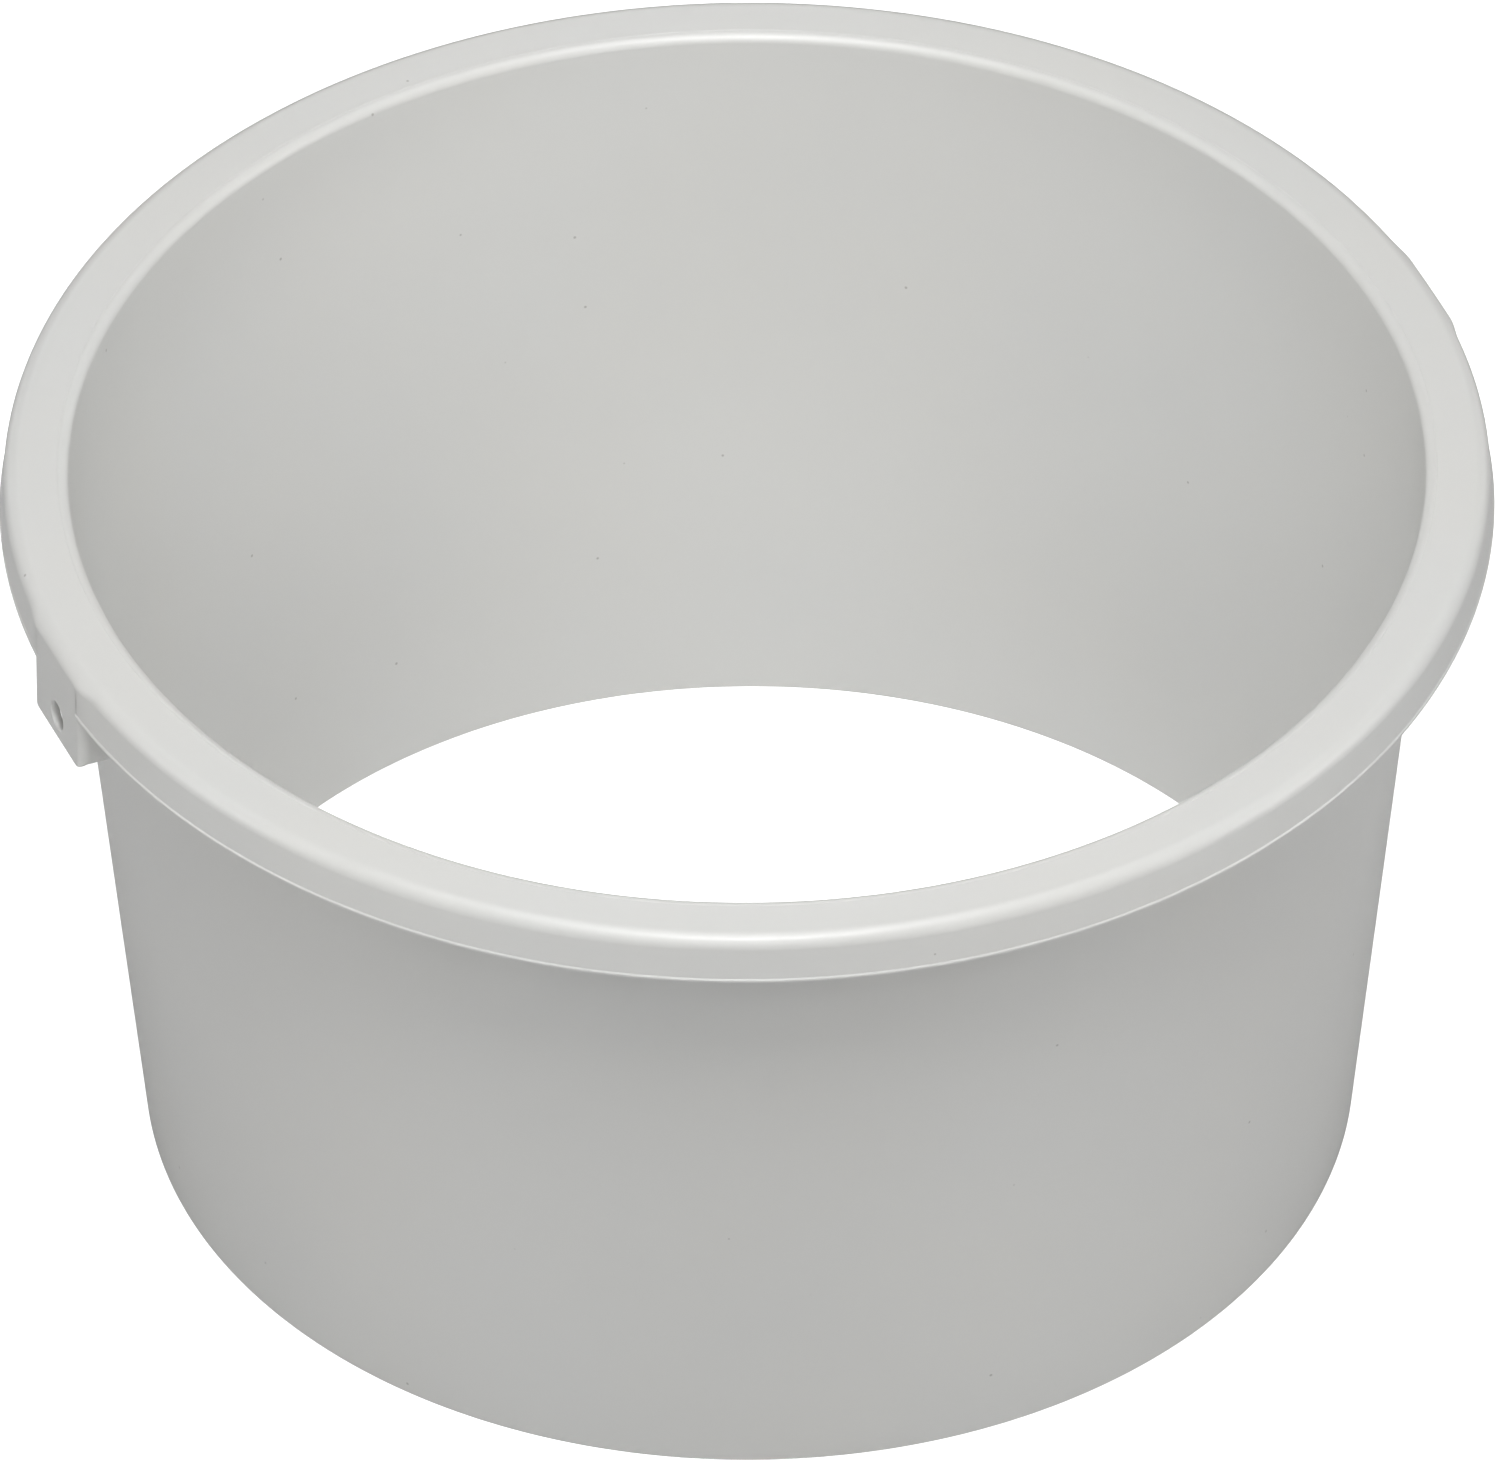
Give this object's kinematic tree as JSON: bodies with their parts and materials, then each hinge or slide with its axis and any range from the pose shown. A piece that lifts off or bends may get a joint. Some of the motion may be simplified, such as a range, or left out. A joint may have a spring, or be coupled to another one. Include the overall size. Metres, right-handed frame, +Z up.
{
  "type": "cheese mold",
  "caption": "Bottomless tapered plastic hoop for shaping curd, with a flat flanged rim, a turned-down skirt and bail ears hanging under the rim.",
  "frame": {"origin": "centre of the circle of the bottom edge, on the surface the hoop stands on", "axes": "+Z up along the hoop's axis, from the narrow bottom edge to the flanged rim; -Y is the front, with one bail ear at the left, turned a little to the front, and the other opposite"},
  "size_m": [0.3, 0.3, 0.1585],
  "materials": {
    "moulded_plastic": "satin, as moulded, natural white"
  },
  "bodies": {
    "root": {"hoop_wall": "moulded_plastic", "rim_flange": "moulded_plastic", "rim_skirt": "moulded_plastic", "bail_ear_left": "moulded_plastic", "bail_ear_right": "moulded_plastic"}
  },
  "joints": []
}
